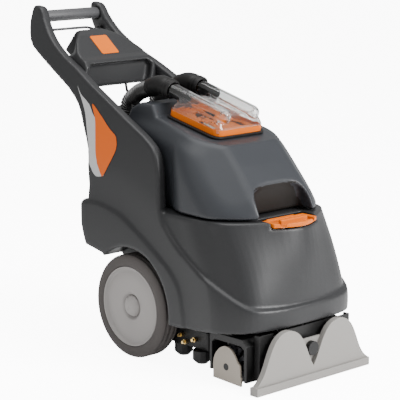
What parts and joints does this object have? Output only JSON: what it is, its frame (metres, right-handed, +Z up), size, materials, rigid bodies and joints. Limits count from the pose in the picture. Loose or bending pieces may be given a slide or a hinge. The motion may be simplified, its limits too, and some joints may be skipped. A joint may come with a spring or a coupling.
{
  "type": "carpet cleaner machine",
  "caption": "Walk-behind carpet extractor with wheels, handle frame, lift-off recovery tank under a clear dome, driven brush and a floating vacuum shoe.",
  "frame": {"origin": "on the floor, under the middle of the machine's bounding box", "axes": "+Z up, -Y to the front (the vacuum shoe), +Y to the handle, X across the machine"},
  "size_m": [0.336, 0.7679, 0.6914],
  "materials": {
    "body_grey": "satin rotational moulding, charcoal grey",
    "tank_grey": "satin rotational moulding, charcoal grey",
    "orange_plastic": "bright orange moulding",
    "clear_plastic": "clear polycarbonate",
    "black_plastic": "black, fine grained",
    "black_rubber": "matt black rubber",
    "tyre_grey": "warm dark grey tread rubber",
    "hub_grey": "light grey moulding",
    "shoe_grey": "light warm grey moulding",
    "plate_beige": "beige grey moulding",
    "steel": "zinc plated",
    "painted_steel": "black powder coat",
    "aluminium": "machined",
    "brass": "bright machined",
    "bristle": "nylon filament",
    "nylon": "natural nylon"
  },
  "bodies": {
    "machine": {"lower_body": "body_grey", "side_frame_left": "body_grey", "side_frame_right": "body_grey", "console": "body_grey", "console_plate": "orange_plastic", "power_inlet": "black_plastic", "handlebar": "painted_steel", "bail_pivots": "black_plastic", "rear_cover": "body_grey", "cover_screws": "steel", "axle": "steel", "axle_clips": "steel", "chassis_plate": "painted_steel", "solution_tank": "nylon", "vacuum_motor": "painted_steel", "pump": "black_plastic", "spray_bar": "aluminium", "spray_nozzles": "brass", "front_housing": "black_plastic", "drain_block": "black_plastic", "brass_fittings": "brass", "hose_left": "black_rubber", "hose_right": "black_rubber", "suction_pipe": "black_plastic", "solution_hose": "black_rubber", "harness_cable": "black_rubber"},
    "wheel_left": {"tyre_left": "tyre_grey", "hub_left": "hub_grey", "hub_cap_left": "hub_grey", "wheel_bush_left": "nylon"},
    "wheel_right": {"tyre_right": "tyre_grey", "hub_right": "hub_grey", "hub_cap_right": "hub_grey", "wheel_bush_right": "nylon"},
    "brush_deck": {"brush_housing": "black_plastic", "end_plates": "plate_beige", "brush_motor": "painted_steel", "drive_belt": "black_rubber", "belt_cover": "black_plastic"},
    "brush": {"brush_core": "black_plastic", "brush_bristles": "bristle", "brush_pulley": "aluminium"},
    "motor_drive": {"motor_pulley": "aluminium"},
    "height_knob": {"height_knob": "black_plastic"},
    "vacuum_shoe": {"vacuum_shoe": "shoe_grey"},
    "shoe_knob": {"shoe_knob": "black_plastic"},
    "drain_cap_front": {"drain_cap_front": "black_plastic"},
    "drain_cap_rear": {"drain_cap_rear": "black_plastic"},
    "bail": {"bail_lever": "painted_steel"},
    "filler_lid": {"fill_lid": "orange_plastic"},
    "recovery_tank": {"recovery_tank": "tank_grey", "dome_gasket": "black_rubber", "float_cage": "nylon", "hose_cuffs": "black_rubber"},
    "float_ball": {"float_ball": "nylon"},
    "dome": {"clear_dome": "clear_plastic", "dome_tray": "orange_plastic", "tube_sleeves": "black_plastic"},
    "switch_left": {"rocker_switch_left": "black_plastic"},
    "switch_right": {"rocker_switch_right": "black_plastic"}
  },
  "joints": [
    {"name": "wheel_left_spin", "type": "hinge", "parent": "machine", "child": "wheel_left", "pos_m": [0, -0.02, 0.1065], "axis": [1, 0, 0], "continuous": true},
    {"name": "wheel_right_spin", "type": "hinge", "parent": "machine", "child": "wheel_right", "pos_m": [0, -0.02, 0.1065], "axis": [1, 0, 0], "continuous": true},
    {"name": "deck_height", "type": "slide", "parent": "machine", "child": "brush_deck", "axis": [0, 0, 1], "range_m": [0, 0.005]},
    {"name": "brush_spin", "type": "hinge", "parent": "brush_deck", "child": "brush", "pos_m": [0, -0.288, 0.037], "axis": [1, 0, 0], "continuous": true},
    {"name": "motor_spin", "type": "hinge", "parent": "brush_deck", "child": "motor_drive", "pos_m": [0, -0.196, 0.068], "axis": [1, 0, 0], "continuous": true},
    {"name": "height_knob_turn", "type": "hinge", "parent": "brush_deck", "child": "height_knob", "pos_m": [-0.128, -0.284, 0.098], "axis": [0, 0, 1], "range_deg": [0, 270]},
    {"name": "shoe_float", "type": "slide", "parent": "machine", "child": "vacuum_shoe", "axis": [0, 0, 1], "range_m": [0, 0.0025]},
    {"name": "shoe_knob_turn", "type": "hinge", "parent": "vacuum_shoe", "child": "shoe_knob", "pos_m": [0, -0.37, 0.064], "axis": [0, 1, 0], "range_deg": [-180, 180]},
    {"name": "bail_squeeze", "type": "hinge", "parent": "machine", "child": "bail", "pos_m": [0, 0.352, 0.627], "axis": [1, 0, 0], "range_deg": [0, 30], "stiffness_Nm_per_rad": 0.4},
    {"name": "filler_lid_hinge", "type": "hinge", "parent": "machine", "child": "filler_lid", "pos_m": [0, -0.2845, 0.307], "axis": [-1, 0, 0], "range_deg": [0, 60]},
    {"name": "tank_lift", "type": "slide", "parent": "machine", "child": "recovery_tank", "axis": [0, -0.29, 0.957], "range_m": [0, 0.15], "deforming": ["hose_left", "hose_right"]},
    {"name": "dome_lift", "type": "slide", "parent": "recovery_tank", "child": "dome", "axis": [0, -0.29, 0.957], "range_m": [0, 0.1]},
    {"name": "float_rise", "type": "slide", "parent": "recovery_tank", "child": "float_ball", "axis": [0, 0, 1], "range_m": [0, 0.03]},
    {"name": "switch_left_rock", "type": "hinge", "parent": "machine", "child": "switch_left", "pos_m": [-0.017, 0.3107, 0.6209], "axis": [1, 0, 0], "range_deg": [-4, 4]},
    {"name": "switch_right_rock", "type": "hinge", "parent": "machine", "child": "switch_right", "pos_m": [0.017, 0.3107, 0.6209], "axis": [1, 0, 0], "range_deg": [-4, 4]},
    {"name": "drain_cap_rear_turn", "type": "hinge", "parent": "machine", "child": "drain_cap_rear", "pos_m": [-0.097, -0.112, 0.03], "axis": [0, 0, -1], "range_deg": [0, 360]},
    {"name": "drain_cap_front_turn", "type": "hinge", "parent": "machine", "child": "drain_cap_front", "pos_m": [-0.112, -0.182, 0.03], "axis": [0, 0, -1], "range_deg": [0, 360]}
  ],
  "couplings": [
    {"joint": "motor_spin", "follows": "brush_spin", "ratio": 2},
    {"joint": "height_knob_turn", "follows": "deck_height", "rad_per_m": 942.48}
  ]
}
